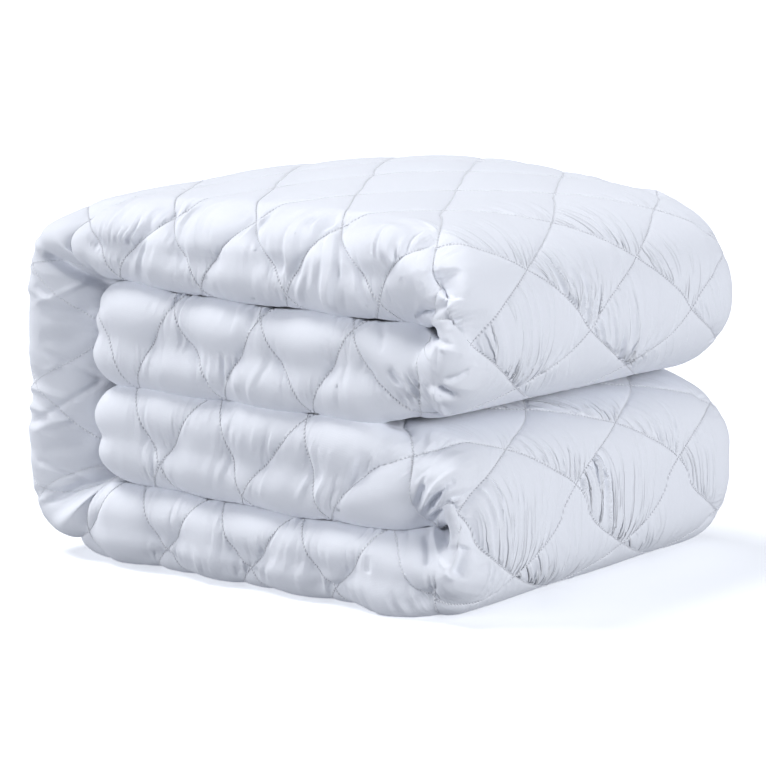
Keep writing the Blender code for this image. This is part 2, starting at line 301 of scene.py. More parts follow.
# ---------------------------------------------------------------- the quilted cover

LATTICE_STEPS = 60  # mesh steps along one side of a diamond
HIDDEN_COLUMNS = 7  # mesh columns across the side that lies inside the folds
COVER_TRIANGLES = 197000
SEAM_SWAY = 0.0022  # how far the seams wander from straight lines
SWAY_LENGTH = 0.045
SIN_SEAM = math.sqrt(3) / 2  # of the angle from a seam to the strip's length
FOLDS = ("upper_fold", "lower_fold")


def sway(strip, along, v):
    """Places on the pattern, moved a little as a hand-guided quilting line wanders."""
    move_along = rough(along / SWAY_LENGTH, v / SWAY_LENGTH, 1)
    move_v = rough(along / SWAY_LENGTH, v / SWAY_LENGTH, 2)
    fade = smooth_step(np.minimum(along, strip.total - along) / NOSE)
    return along + SEAM_SWAY * move_along * fade, v + SEAM_SWAY * move_v * fade


class Lattice:
    """The mesh points of the cover, in rows along the strip and columns round it.

    A column is shifted half a step against its neighbours, so that both directions of seam run
    along lines of the mesh, and a diamond of the quilting is a square patch of its faces.
    """

    def __init__(self, strip):
        self.strip = strip
        step = strip.short / LATTICE_STEPS
        width = strip.long / (2 * LATTICE_STEPS)
        rows = [s.row for s in strip.sections]
        first = math.ceil((-strip.quarter - max(rows)) / width)
        last = math.floor((strip.far_middle + strip.quarter - min(rows)) / width)
        shown = np.arange(first, last + 1)
        hidden = HIDDEN_COLUMNS + (len(shown) + HIDDEN_COLUMNS) % 2
        self.columns = len(shown) + hidden
        self.first = first
        self.odd = (first + np.arange(self.columns)) % 2
        low = math.ceil((0.5 * step - strip.crossing) / step)
        high = math.floor((strip.total - 1.0 * step - strip.crossing) / step)
        self.low = low - 1
        places = strip.crossing + (np.arange(low - 1, high + 2)[:, None] + self.odd / 2) * step
        places[0] = 0
        places[-1] = strip.total
        self.along = places
        self.rows = len(places)
        row = strip.seam_row(self.along)
        start = row[:, 0] + first * width
        end = row[:, 0] + last * width
        spread = (start + 2 * strip.far_middle - end)[:, None]
        share = np.arange(1, hidden + 1) / (hidden + 1)
        self.v = np.concatenate([row[:, :len(shown)] + shown * width,
                                 end[:, None] + spread * share], 1)
        self.quilted = np.arange(self.columns) < len(shown)
        self.a = (self.along - strip.crossing) / strip.short
        self.b = (self.v - row) / strip.long
        self.x = self.a * strip.short
        self.y = self.b * strip.long
        self.families = (self.a + self.b, self.a - self.b)

    def faces(self):
        """Four-sided faces whose sides run along the two directions of seam."""
        index = np.arange(self.rows * self.columns).reshape(self.rows, self.columns)
        quads = []
        for column in range(self.columns):
            left = index[:, column]
            middle = index[:, (column + 1) % self.columns]
            right = index[:, (column + 2) % self.columns]
            if self.odd[column]:
                quads.append(np.stack([left[:-1], middle[:-1], right[:-1], middle[1:]], -1))
            else:
                quads.append(np.stack([left[1:], middle[:-1], right[1:], middle[1:]], -1))
        return np.concatenate(quads)


TILE = 64  # random values in a row, before they repeat


def rough(x, y, seed):
    """Smooth random values from -1 to 1, a new one at each whole x and y."""
    values = np.random.default_rng(seed).uniform(-1, 1, (TILE, TILE))
    column, row = np.floor(x).astype(int), np.floor(y).astype(int)
    across, down = smooth_step(x - column), smooth_step(y - row)
    column, row = column % TILE, row % TILE
    right, below = (column + 1) % TILE, (row + 1) % TILE
    return mix(mix(values[row, column], values[row, right], across),
               mix(values[below, column], values[below, right], across), down)


def ridges(lines, length, seed, width):
    """0 to 1: narrow ridges, two cells apart on average across the lines."""
    return np.exp(-(rough(lines, length, seed) / width) ** 2)


def diamond_of(lattice):
    """Which diamond each point lies in: a whole number by each family of seams."""
    return [np.floor(s + 1e-9).astype(int) for s in lattice.families]


def by_diamond(lattice, seed):
    """A random value from -1 to 1 for each diamond of the quilting."""
    values = np.random.default_rng(seed).uniform(-1, 1, (TILE, TILE))
    first, second = diamond_of(lattice)
    return values[first % TILE, second % TILE]


def in_diamond(lattice):
    """The place in its diamond from 0 to 1, by both families of seams, and off the nearest seam."""
    p, q = (s - np.floor(s) for s in lattice.families)
    return p, q, np.minimum(np.minimum(p, q), np.minimum(1 - p, 1 - q))


def normals_of(points):
    """Outward normals of a grid of points whose columns go round the strip."""
    along = np.gradient(points, axis=0)
    round_strip = np.roll(points, -2, axis=1) - np.roll(points, 2, axis=1)
    normal = np.cross(round_strip, along)
    return normal / np.maximum(np.linalg.norm(normal, axis=-1, keepdims=True), 1e-9)


# Where a region of the cloth starts, and where it counts in full. The share of the bulge is 0 on
# the faces and 1 at an edge's outermost line. The share of the thickness is 1 on the outer side of
# the strip and -1 on its inner side, or 1 on the lower side where it is taken downwards.
EDGE = (0, 5 / 9)  # by the share of the bulge
OUTER = (-0.5, 0.5)  # by the share of the thickness
PRESSED = (0, -1)
PINCHED = (0.35, -0.35)
UPPER_HALF = (0.25, -0.35)  # by the share of the thickness downwards
LOWER_LIP = (0.50, 0.80)
FOLDED_BACK = (0.4, 0.2)  # by the distance from a fold's middle, as a share of the fold
SECTION_FROM = (-0.125, 0.125)  # by the share of the way through a section, where it begins
SECTION_TO = (1.125, 0.875)  # and where it ends
ENDS_REACH = 0.10  # how far the plump free ends of the strip reach
CREVICE_AT = 0.86  # where an edge is fullest beside the next layer, by the share of the thickness


class Regions:
    """Share, from 0 to 1, that each point of the lattice has in the regions that crease alike."""

    def __init__(self, lattice):
        strip = lattice.strip
        along = lattice.along
        near_out, far_out, _, thick = strip.across(lattice.v)
        fold = sum(self.window(strip, along, name, name) for name in FOLDS)
        wrap = self.window(strip, along, "wrap_top", "wrap_bottom")
        top = self.window(strip, along, "layer_1", "layer_1")
        bottom = self.window(strip, along, "layer_4", "layer_4")
        self.edge = ramp(np.maximum(near_out, far_out), *EDGE)
        self.far_edge = ramp(far_out, *EDGE)
        self.layer_edge = self.edge * (1 - fold) * (1 - wrap)
        self.fold_edge = self.edge * fold
        self.wrap_edge = self.edge * strip.on_wrap(along)
        self.outer = ramp(thick, *OUTER)
        face = (1 - self.edge) * self.outer
        self.top_face = face * top
        self.fold_face = face * fold
        self.wrap_face = face * wrap
        self.top_layer = top
        self.pressed = ramp(thick, *PRESSED)
        self.pinched = self.fold_edge * ramp(thick, *PINCHED)
        down = thick * np.cos(strip.heading(along))
        self.upper_half = ramp(down, *UPPER_HALF)
        self.lower_lip = ramp(down, *LOWER_LIP) * (1 - wrap)
        crevice = ramp(np.abs(thick), 0, CREVICE_AT) * ramp(np.abs(thick), 1, CREVICE_AT)
        facing = 1 - self.outer * np.maximum.reduce([top, bottom, fold])
        self.beside_crevice = crevice * facing * (1 - wrap) * (1 - self.folded_back(strip, along))
        self.away_from_ends = ramp(np.minimum(along, strip.total - along), 0, ENDS_REACH)
        self.free = (strip.nose_share(along) - END_THICKNESS) / (1 - END_THICKNESS)

    @staticmethod
    def folded_back(strip, along):
        """1 in the middle of a fold, round its crease."""
        return ramp(np.minimum(*(np.abs(strip.within(along, name) - 0.5) for name in FOLDS)),
                    *FOLDED_BACK)

    @staticmethod
    def window(strip, along, first, last):
        """1 from the start of one section to the end of another, with soft ends."""
        return (ramp(strip.within(along, first), *SECTION_FROM)
                * ramp(strip.within(along, last), *SECTION_TO))


# A spacing is the distance between two random values, so a crease is about two of them from the
# next. A run is the length of cloth along which a crease changes.
FAN_SPACING = 0.0095
FAN_REACH = 0.7  # how far below a diamond the creases would meet, in its own heights
FAN_BEND = 0.009  # how far the creases bow out towards the far side at half height
FAN_BEND_VARIES = 0.5  # from one diamond to the next, as a share
FAN_SHIFT = 0.25  # how far apart the diamonds' creases are taken from the random values
FAN_HEIGHT = 0.0072
FAN_WIDTH = 0.27  # share of the random values that the top of a crease takes up
FAN_SHADOW = 0.0032  # how far beyond a crease the cloth dips
FAN_DIP = 0.7  # as a share of the height
FAN_DIP_WIDTH = 0.30
FAN_RUN = 1.5  # random values along a crease, in the height of a diamond
FAN_LOW = 0.45  # how far the deep creases reach from the lower seam, in sides of a diamond
FAN_HIGH_SHARE = 0.25  # how deep they are beyond it
FINE_LINES = (2.2, 2.5)  # how much finer the creases beside the seams are, across and along
FINE_SHARE = 0.25  # height of these
FINE_REACH = 0.16  # in sides of a diamond
FAN_END = 0.04  # how far from a seam a crease is at its full height
FAN_STRENGTH = (0.70, 0.5)  # share of the height, and how much it varies between diamonds
FAN_STRENGTH_LIMITS = (0.3, 1.0)
FAN_PATCH = (0.75, 0.5)  # share of the height, and how much it varies within a diamond
FAN_PATCH_SIZE = (0.035, 0.05)


def fan_creases(lattice):
    """Creases of the fold faces, which gather towards the lower corner of each diamond."""
    p, q, seam = in_diamond(lattice)
    up = (p + q) / 2
    sideways = (p - q) / 2 * lattice.strip.long
    bow = FAN_BEND * (1 + FAN_BEND_VARIES * by_diamond(lattice, 3)) * 4 * up * (1 - up)
    lines = (sideways - bow) * (0.5 + FAN_REACH) / (up + FAN_REACH)
    lines = lines + FAN_SHIFT * by_diamond(lattice, 4)
    coarse = ridges(lines / FAN_SPACING, up * FAN_RUN, 5, FAN_WIDTH)
    coarse -= FAN_DIP * ridges((lines - FAN_SHADOW) / FAN_SPACING, up * FAN_RUN, 5, FAN_DIP_WIDTH)
    fine = rough(lines / FAN_SPACING * FINE_LINES[0], up * FINE_LINES[1], 6)
    strength = np.clip(FAN_STRENGTH[0] + FAN_STRENGTH[1] * by_diamond(lattice, 7),
                       *FAN_STRENGTH_LIMITS)
    spots = (lattice.x / FAN_PATCH_SIZE[0], lattice.y / FAN_PATCH_SIZE[1])
    patch = FAN_PATCH[0] + FAN_PATCH[1] * rough(*spots, 8)
    shape = (coarse * mix(FAN_HIGH_SHARE, 1.0, np.exp(-(p / FAN_LOW) ** 2))
             + FINE_SHARE * fine * np.exp(-(seam / FINE_REACH) ** 2))
    return FAN_HEIGHT * shape * strength * patch * ramp(seam, 0, FAN_END)


GATHER_SPACING = 0.0037
GATHER_HEIGHT = 0.0060
GATHER_LENGTH = 0.016
GATHER_RUN = 0.04  # length of cloth along which a gather changes
GATHER_WANDER = 0.004  # how far the gathers stray from straight lines
GATHER_WANDER_SIZE = 0.02
GATHER_SEAM = 0.03  # length of seam along which they come and go
GATHER_AMOUNT = (0.45, 1.1)  # how strong they are, and how sharply they come and go
OTHER_SIDE = 0.35  # the needle pushed the cloth ahead, so it gathers less on one side
SEAM_HOLD = 0.0018  # the stitches hold the cloth flat this near to them


def seam_gathers(lattice):
    """Short gathers beside the seams of the edges, where the stitching has taken in cloth."""
    strip = lattice.strip
    spots = (lattice.x / GATHER_WANDER_SIZE, lattice.y / GATHER_WANDER_SIZE)
    lines = lattice.x + GATHER_WANDER * rough(*spots, 9)
    height = np.zeros_like(lattice.x)
    up_left = -np.cos(strip.heading(lattice.along))
    for number, s in enumerate(lattice.families):
        seam = np.round(s)
        off = SIN_SEAM * strip.short * (s - seam)
        side = seam * 3 + (off > 0)
        handed = smooth_step(0.5 + up_left * np.sign(off)) if number == 0 else 0.0
        off = np.abs(off)
        amount = rough(lattice.y / GATHER_SEAM, side, 10 + number)
        amount = smooth_step(GATHER_AMOUNT[0] + GATHER_AMOUNT[1] * amount)
        wave = rough(lines / GATHER_SPACING, side + lattice.y / GATHER_RUN, 12 + number)
        height += (amount * mix(OTHER_SIDE, 1.0, handed) * wave
                   * (1 - np.exp(-off / SEAM_HOLD)) * np.exp(-off / GATHER_LENGTH))
    return GATHER_HEIGHT * height


PLEAT_SPACING = 0.0065
PLEAT_HEIGHT = 0.0065
PLEAT_RUN = 0.05
PLEAT_LEAN = 0.10  # how far along the strip a pleat leans for each length across it
PLEAT_WANDER = 0.010
PLEAT_WANDER_SIZE = 0.05
PLEAT_PATCH = (0.04, 0.06)  # size of the patches in which they come and go
PLEAT_AMOUNT = (0.6, 0.8)
PLEAT_END = 0.10  # how far from a seam a pleat is at its full height, in sides of a diamond
UPPER_PLEAT_SHARE = 0.45  # how deep they are on the upper half of a layer
FAR_PLEAT_SHARE = 0.3
LOWER_LAYERS_SHARE = 0.35  # and where the layers above weigh on the cloth


def pleats(lattice, regions):
    """Soft pleats that run round the edges, deepest where a puff turns under."""
    spots = (lattice.x / PLEAT_WANDER_SIZE, lattice.y / PLEAT_WANDER_SIZE)
    lines = lattice.x + (PLEAT_LEAN * lattice.y + PLEAT_WANDER * rough(*spots, 20))
    wave = rough(lines / PLEAT_SPACING, lattice.y / PLEAT_RUN, 21)
    patch = rough(lattice.x / PLEAT_PATCH[0], lattice.y / PLEAT_PATCH[1], 22)
    patch = smooth_step(PLEAT_AMOUNT[0] + PLEAT_AMOUNT[1] * patch)
    share = (mix(1.0, UPPER_PLEAT_SHARE, regions.upper_half)
             * mix(LOWER_LAYERS_SHARE, 1.0, regions.top_layer))
    return PLEAT_HEIGHT * wave * patch * ramp(in_diamond(lattice)[2], 0, PLEAT_END) * share


WRAP_FOLD_SPACING = 0.016
WRAP_FOLD_HEIGHT = 0.0030
WRAP_FOLD_WIDTH = 0.6
WRAP_FOLD_RUN = 0.12
WRAP_FOLD_WANDER = 0.010
WRAP_FOLD_WANDER_SIZE = (0.06, 0.05)


def wrap_folds(lattice):
    """Long soft folds that run round the edge of the wrap, where the bend presses it together."""
    spots = (lattice.x / WRAP_FOLD_WANDER_SIZE[0], lattice.y / WRAP_FOLD_WANDER_SIZE[1])
    lines = lattice.x + WRAP_FOLD_WANDER * rough(*spots, 24)
    return WRAP_FOLD_HEIGHT * ridges(lines / WRAP_FOLD_SPACING, lattice.y / WRAP_FOLD_RUN, 25,
                                     WRAP_FOLD_WIDTH)


PUFF_POWER_ON_FACES = 0.50  # 1 is a dome, and less is broader with narrower valleys
PUFF_POWER_ON_EDGES = 0.75
PUFF_VARIES = 0.15  # share by which a puff is fuller or flatter than most
# How deep a seam is, as a share of its depth on the near edges or on the faces:
FAR_SEAM_SHARE = 0.3
WRAP_SEAM_SHARE = 0.30
PRESSED_SHARE = 0.5  # where the layers press against each other
BESIDE_SHARE = 0.4  # beside the next layer
END_SEAM_SHARE = 0.25  # near the strip's free ends, which are plump
PINCH_SEAM_SHARE = 0.1  # in the pinches


def quilting(lattice, regions, sizes):
    """How deep the stitching pulls the cloth in, from nothing in the middle of a puff."""
    power = mix(PUFF_POWER_ON_FACES, PUFF_POWER_ON_EDGES, regions.edge)
    puff = 1 + PUFF_VARIES * by_diamond(lattice, 30)
    for place in in_diamond(lattice)[:2]:
        puff = puff * np.maximum(4 * place * (1 - place), 0) ** power
    wrap = lattice.strip.on_wrap(lattice.along)
    on_edges = (sizes.depth_on_edges * mix(1.0, WRAP_SEAM_SHARE, wrap)
                * mix(1.0, FAR_SEAM_SHARE, regions.far_edge))
    depth = (mix(sizes.depth_on_faces, on_edges, regions.edge)
             * mix(1.0, PRESSED_SHARE, regions.pressed)
             * mix(1.0, BESIDE_SHARE, np.maximum(regions.beside_crevice, regions.lower_lip))
             * mix(END_SEAM_SHARE, 1.0, regions.away_from_ends)
             * mix(1.0, PINCH_SEAM_SHARE, regions.pinched))
    return depth * (1 - puff) * regions.free


Crease = namedtuple("Crease", "name height width route")
CREASES = [Crease(*row) for row in (
    # name, height (a valley is negative) and half width in metres, route in the photo's pixels
    ("lip_of_wrap", -0.012, 0.0045, ((46, 247), (60, 256), (75, 264), (95, 273), (120, 279))),
    ("foot_of_wrap", -0.010, 0.0045, ((50, 495), (66, 489), (85, 478), (105, 474), (128, 471))),
    ("wrap_notch", -0.004, 0.003, ((41, 277), (48, 285), (56, 290))),
    ("wrap_fold_1", 0.003, 0.003, ((38, 299), (48, 293), (60, 289), (78, 280), (90, 274))),
    ("wrap_fold_2", -0.004, 0.007, ((42, 304), (80, 306), (122, 305))),
    ("wrap_fold_3", -0.003, 0.008, ((42, 331), (65, 334), (110, 331))),
    ("wrap_seam_1", -0.003, 0.003, ((45, 343), (67, 354), (90, 365), (107, 372))),
    ("wrap_fold_4", 0.002, 0.003, ((50, 364), (56, 361), (65, 359))),
    ("wrap_seam_2", -0.004, 0.003, ((37, 418), (50, 408), (67, 397), (87, 385), (107, 372))),
    ("wrap_fold_5", 0.003, 0.004, ((40, 423), (55, 417), (76, 412))),
    ("wrap_fold_6", -0.003, 0.008, ((45, 442), (80, 438), (118, 431))),
    ("wrap_seam_3", -0.003, 0.003, ((40, 452), (63, 463), (97, 475))),
    ("nose_seam_ridge", 0.003, 0.004, ((432, 248), (432, 262), (431, 279), (422, 303))),
    ("nose_hollow", -0.018, 0.010, ((444, 268), (446, 280), (445, 292))),
    ("nose_tuck", -0.008, 0.003, ((421, 308), (436, 305), (447, 299), (453, 288))),
    ("nose_roll", 0.006, 0.008, ((432, 316), (444, 313), (455, 309))),
    ("nose_valley", -0.010, 0.003, ((434, 323), (442, 330), (452, 336), (464, 338))),
    ("nose_ridge", 0.006, 0.003, ((438, 334), (450, 342), (460, 344), (468, 341))),
    ("nose_lump", 0.006, 0.012, ((436, 352), (450, 356))),
    ("nose_fold", -0.007, 0.003, ((445, 371), (457, 369), (470, 362))),
    ("nose_dent", -0.007, 0.004, ((440, 381), (449, 389), (458, 393))),
    ("nose_sweep_1", -0.008, 0.003, ((424, 356), (430, 380), (442, 408))),
    ("nose_sweep_2", 0.006, 0.003, ((428, 360), (436, 386), (447, 408))),
    ("nose_gather_1", -0.005, 0.0035, ((416, 253), (409, 265), (405, 279))),
    ("nose_gather_2", -0.005, 0.0035, ((425, 257), (423, 268), (426, 284))),
    ("layer_2_tuck", -0.010, 0.003, ((393, 363), (399, 374), (411, 381))),
    ("layer_2_gather_1", -0.007, 0.003, ((410, 381), (415, 374), (420, 368))),
    ("layer_2_gather_2", -0.007, 0.003, ((383, 322), (388, 338), (386, 352))),
    ("layer_3_tuck", -0.010, 0.003, ((421, 497), (424, 482), (430, 470))),
    ("layer_3_gather_1", -0.009, 0.003, ((428, 506), (436, 492), (448, 480), (458, 474))),
    ("layer_3_gather_2", 0.006, 0.003, ((427, 498), (436, 484), (449, 474))),
    ("layer_3_gather_3", -0.007, 0.003, ((434, 512), (445, 503), (458, 492))),
    ("low_nose_hollow", -0.010, 0.008, ((466, 540), (464, 555), (458, 572))),
    ("low_nose_fold_1", -0.004, 0.003, ((441, 519), (448, 534), (459, 547))),
    ("low_nose_fill", 0.007, 0.006, ((440, 515), (445, 523), (450, 532))),
    ("low_nose_fold_2", 0.006, 0.003, ((436, 522), (440, 540), (450, 562), (456, 576))),
    ("low_nose_fold_3", -0.007, 0.004, ((432, 540), (434, 560), (437, 590))),
    ("layer_4_gather_1", -0.010, 0.003, ((402, 521), (396, 532), (392, 548))),
    ("layer_4_gather_2", -0.007, 0.004, ((411, 524), (414, 545), (411, 566))),
    ("layer_4_gather_3", -0.007, 0.004, ((382, 549), (376, 558), (372, 570))),
)]


def seen_at(pixel, tree):
    """The place on the solid that a pixel of the photo shows, or None where it misses."""
    right, up, back = camera_axes()
    focal = CAMERA_LENS / SENSOR * IMAGE
    across = (pixel[0] - IMAGE / 2 - PHOTO_SHIFT[0]) / focal
    down = (pixel[1] - IMAGE / 2 - PHOTO_SHIFT[1]) / focal
    return tree.ray_cast(camera_place(), (right * across - up * down - back).normalized())[0]


CREASE_REACH = 3  # how far a crease is felt, in half widths
CREASE_DEPTH = 0.2  # how much a place counts as off the crease by lying above or below it
CREASE_TAPER = (-0.05, 0.15)  # from an end, as a share of the crease's length


def drawn_creases(points, normals, tree):
    """Height of the creases that show in the photo at a place of their own."""
    height = np.zeros(points.shape[:-1])
    for crease in CREASES:
        hits = [seen_at(pixel, tree) for pixel in crease.route]
        route = np.array([hit for hit in hits if hit is not None])
        reach = CREASE_REACH * crease.width
        near = np.all((points > route.min(0) - reach) & (points < route.max(0) + reach), -1)
        spots, facing = points[near], normals[near]
        best = np.full(len(spots), np.inf)
        place = np.zeros(len(spots))
        for number, (start, stop) in enumerate(zip(route, route[1:])):
            axis = stop - start
            share = np.clip((spots - start) @ axis / (axis @ axis), 0, 1)
            away = spots - start - share[:, None] * axis
            depth = (away * facing).sum(-1)
            off = (away ** 2).sum(-1) - (1 - CREASE_DEPTH) * depth ** 2
            closer = off < best
            best = np.where(closer, off, best)
            place = np.where(closer, (number + share) / (len(route) - 1), place)
        taper = ramp(np.minimum(place, 1 - place), *CREASE_TAPER)
        height[near] += crease.height * np.exp(-best / crease.width ** 2) * taper
    return height


SMOOTH_PLACES = (  # where no seam shows: place in the photo's pixels, and reach in metres
    ("upper_nose", (452, 352), 0.016),
    ("lower_nose", (455, 560), 0.016),
)
SMOOTH_DIAMOND = (478, 305)  # a place on the diamond beside the upper nose, in the photo's pixels
# How deep the fans of creases are, as a share of their height:
SMOOTH_SHARE = 0.12  # on this diamond
UPPER_FAN_SHARE = 0.4  # where the folds turn over
TURNING_OVER = (0.55, 0.80)  # by the share of the way round a fold
FAR_FAN_SHARE = 0.4  # on the far part of the fold faces
FAR_PART = (0.02, 0.17)  # by y


def creased_diamonds(lattice, points, tree):
    """How much the fold faces crease: less at their tops and on the diamond stretched smooth."""
    strip = lattice.strip
    within = [strip.within(lattice.along, name) for name in FOLDS]
    past = np.maximum(*(np.where(share < 1.5, share, 0) for share in within))
    share = mix(1.0, UPPER_FAN_SHARE, ramp(past, *TURNING_OVER))
    share *= mix(1.0, FAR_FAN_SHARE, ramp(points[..., 1], *FAR_PART))
    first, second = diamond_of(lattice)
    hit = seen_at(SMOOTH_DIAMOND, tree)
    index = np.unravel_index(((points - hit) ** 2).sum(-1).argmin(), share.shape)
    share[(first == first[index]) & (second == second[index])] = SMOOTH_SHARE
    return share


def unquilted(points, tree):
    """0 at the places where the cloth bulges smoothly, and 1 away from them."""
    share = np.ones(points.shape[:-1])
    for _, pixel, reach in SMOOTH_PLACES:
        away = ((points - seen_at(pixel, tree)) ** 2).sum(-1) / reach ** 2
        share *= 1 - np.exp(-away ** 2 / 4)
    return share


CREVICE_FILL = 0.0085  # how much fuller the edges are beside the next layer
MIDDLE_FILL = 0.5  # and how much more so between the two middle layers, as a share of it
# How deep the gathers are, as a share of their height on the edges: modelled, and in the material
TOP_GATHERS = 0.12
WRAP_FACE_GATHERS = (0.4, 0.3)
WRAP_EDGE_GATHERS = (0.4, 0.2)
LIP_CREASES = (0.15, 0.3)  # how much of all the creases is left on the lower lips


def gathered(regions, fine=0):
    """How much the cloth gathers beside its seams, for the model (0) or the material (1)."""
    return (regions.layer_edge + regions.fold_edge + TOP_GATHERS * regions.top_face
            + WRAP_FACE_GATHERS[fine] * regions.wrap_face
            + WRAP_EDGE_GATHERS[fine] * regions.wrap_edge)


def creasing(regions, fine=0):
    """How much the cloth is free to crease, for the model (0) or the material (1)."""
    return regions.free * (1 - regions.pinched) * mix(1.0, LIP_CREASES[fine], regions.lower_lip)


def cover_points(lattice, sizes, tree):
    """Where every point of the cover lies."""
    strip = lattice.strip
    regions = Regions(lattice)
    points = strip.settle(strip.place(*sway(strip, lattice.along, lattice.v)))
    height = (gathered(regions) * seam_gathers(lattice)
              + (regions.layer_edge + regions.fold_edge) * pleats(lattice, regions))
    height *= mix(1.0, FAR_PLEAT_SHARE, regions.far_edge) * regions.away_from_ends
    height += regions.fold_face * fan_creases(lattice) * creased_diamonds(lattice, points, tree)
    height += regions.wrap_edge * wrap_folds(lattice)
    height = height * creasing(regions) - quilting(lattice, regions, sizes)
    height = np.where(lattice.quilted, height, 0.0) * unquilted(points, tree)
    normals = normals_of(points)
    height += CREVICE_FILL * (1 + MIDDLE_FILL * regions.outer) * regions.beside_crevice
    height += drawn_creases(points, normals, tree)
    points = points + normals * height[..., None]
    points[..., 2] = np.maximum(points[..., 2] - FLOOR_PRESS, 0)
    return points


WRAP_MARKS = 0.3  # how strongly the stitching marks the stretched wrap, with the painted shade in its needle holes


def stitch_marks(lattice, points, tree):
    """How strongly the stitching marks the cloth: the depth of its holes, beads and groove, and the
    painted shade inside its needle holes.
    """
    regions = Regions(lattice)
    return (mix(1.0, WRAP_MARKS, regions.wrap_edge) * (1 - regions.pinched)
            * unquilted(points, tree) ** 2)


def crease_shares(lattice, points, tree):
    """For the cloth's material: where the fans and the gathers lie, and which side gathers."""
    regions = Regions(lattice)
    free = creasing(regions, 1) * unquilted(points, tree)
    fans = regions.fold_face + TOP_GATHERS * regions.top_face
    fans = fans * creased_diamonds(lattice, points, tree)
    up_left = -np.cos(lattice.strip.heading(lattice.along))
    return np.stack([free * fans, free * gathered(regions, 1), up_left], -1)


def mesh_from_lattice(name, points, lattice, marks, creased):
    mesh = bpy.data.meshes.new(name)
    faces = lattice.faces()
    mesh.vertices.add(points.size // 3)
    mesh.vertices.foreach_set("co", points.reshape(-1).astype(np.float32))
    mesh.loops.add(faces.size)
    mesh.loops.foreach_set("vertex_index", faces.reshape(-1).astype(np.int32))
    mesh.polygons.add(len(faces))
    mesh.polygons.foreach_set("loop_start", np.arange(0, faces.size, 4, dtype=np.int32))
    mesh.update(calc_edges=True)
    pattern = np.stack([*lattice.families, marks], -1)
    for field, values in (("pattern", pattern), ("creased", creased)):
        attribute = mesh.attributes.new(field, "FLOAT_VECTOR", "POINT")
        attribute.data.foreach_set("vector", values.reshape(-1).astype(np.float32))
    return mesh


def close_ends(mesh):
    bm = bmesh.new()
    bm.from_mesh(mesh)
    caps = bmesh.ops.holes_fill(bm, edges=[e for e in bm.edges if e.is_boundary])["faces"]
    bmesh.ops.triangulate(bm, faces=caps)
    bmesh.ops.recalc_face_normals(bm, faces=bm.faces)
    bm.to_mesh(mesh)
    bm.free()


def link_object(context, name, data):
    """A new object in the scene."""
    made = bpy.data.objects.new(name, data)
    context.collection.objects.link(made)
    return made


def solid_tree():
    """The frame's solid, for casting rays on it."""
    bm = bmesh.new()
    bm.from_mesh(bpy.data.objects[NODE].data)
    bm.transform(bpy.data.objects[NODE].matrix_world)
    tree = BVHTree.FromBMesh(bm)
    bm.free()
    return tree


def add_cover(context):
    """The closed cover of the whole topper, with its puffs and creases."""
    settings = context.scene.topper
    strip = FoldedStrip(settings)
    lattice = Lattice(strip)
    tree = solid_tree()
    points = cover_points(lattice, settings, tree)
    marks = stitch_marks(lattice, points, tree)
    creased = crease_shares(lattice, points, tree)
    mesh = mesh_from_lattice("topper_cover", points, lattice, marks, creased)
    close_ends(mesh)
    cover = link_object(context, "topper_cover", mesh)
    thin_out(context, cover)
    cover.data.shade_smooth()
    cover.data.materials.append(brushed_microfibre(settings))
    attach(cover, "root")
    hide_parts(NODE)
    return cover


def thin_out(context, piece):
    """Merges faces where the cloth is smooth, down to COVER_TRIANGLES."""
    modifier = piece.modifiers.new("thin_out", "DECIMATE")
    modifier.ratio = COVER_TRIANGLES / (2 * len(piece.data.polygons))
    modifier.use_collapse_triangulate = True
    depsgraph = context.evaluated_depsgraph_get()
    thinned = bpy.data.meshes.new_from_object(piece.evaluated_get(depsgraph))
    piece.modifiers.remove(modifier)
    old = piece.data
    piece.data = thinned
    bpy.data.meshes.remove(old)
    thinned.name = piece.name


# ---------------------------------------------------------------- the quilting stitches

STITCH_SHOWS = 0.7  # it shows where the cloth is quilted at least this much
STITCH_STRETCH = (0.5, 1.5)  # beyond this, it would bridge a crease or be lost in one
EDGE_SHOWS = 0.35  # share of the bulge from which an edge can be seen
STITCH_RINGS = ((0.0, 0.45), (0.5, 1.0), (1.0, 0.45))  # place along a stitch, share of its width
STITCH_SIDES = 4
STITCH_SUNK = 0.10  # share of its thickness that a stitch is pulled into the cloth


def seam_places(strip, pitch):
    """(along, v, direction of along, direction of v) of every stitch on the quilting's seams."""
    first, last = ((end - strip.crossing) / strip.short for end in (NOSE, strip.total - NOSE))
    low, high = -strip.quarter / strip.long - 1, (strip.far_middle + strip.quarter) / strip.long + 1
    per_side = round(strip.short / pitch)
    places = []
    for way in (1, -1):
        for seam in range(math.floor(first - high), math.ceil(last + high) + 1):
            a = np.arange(math.ceil(first * 2 * per_side), math.floor(last * 2 * per_side) + 1)
            a = (a + 0.5) / (2 * per_side)
            b = way * (seam - a)
            keep = (b > low) & (b < high)
            places.append(np.stack([a[keep], b[keep], np.full(keep.sum(), way)], -1))
    return np.concatenate(places)


def on_seam(lattice, points, a, b, way):
    """Points of the cover at places on its seams, from the two nearest mesh points of the seam."""
    column = b * 2 * LATTICE_STEPS - lattice.first
    left = np.clip(np.floor(column).astype(int), 0, lattice.columns - 2)
    share = column - left
    found = []
    for step in (0, 1):
        at = a + way * (share - step) / (2 * LATTICE_STEPS)
        row = np.round(at * LATTICE_STEPS - lattice.low - lattice.odd[left + step] / 2).astype(int)
        found.append(points[np.clip(row, 0, lattice.rows - 1), left + step])
    return mix(found[0], found[1], share[:, None])


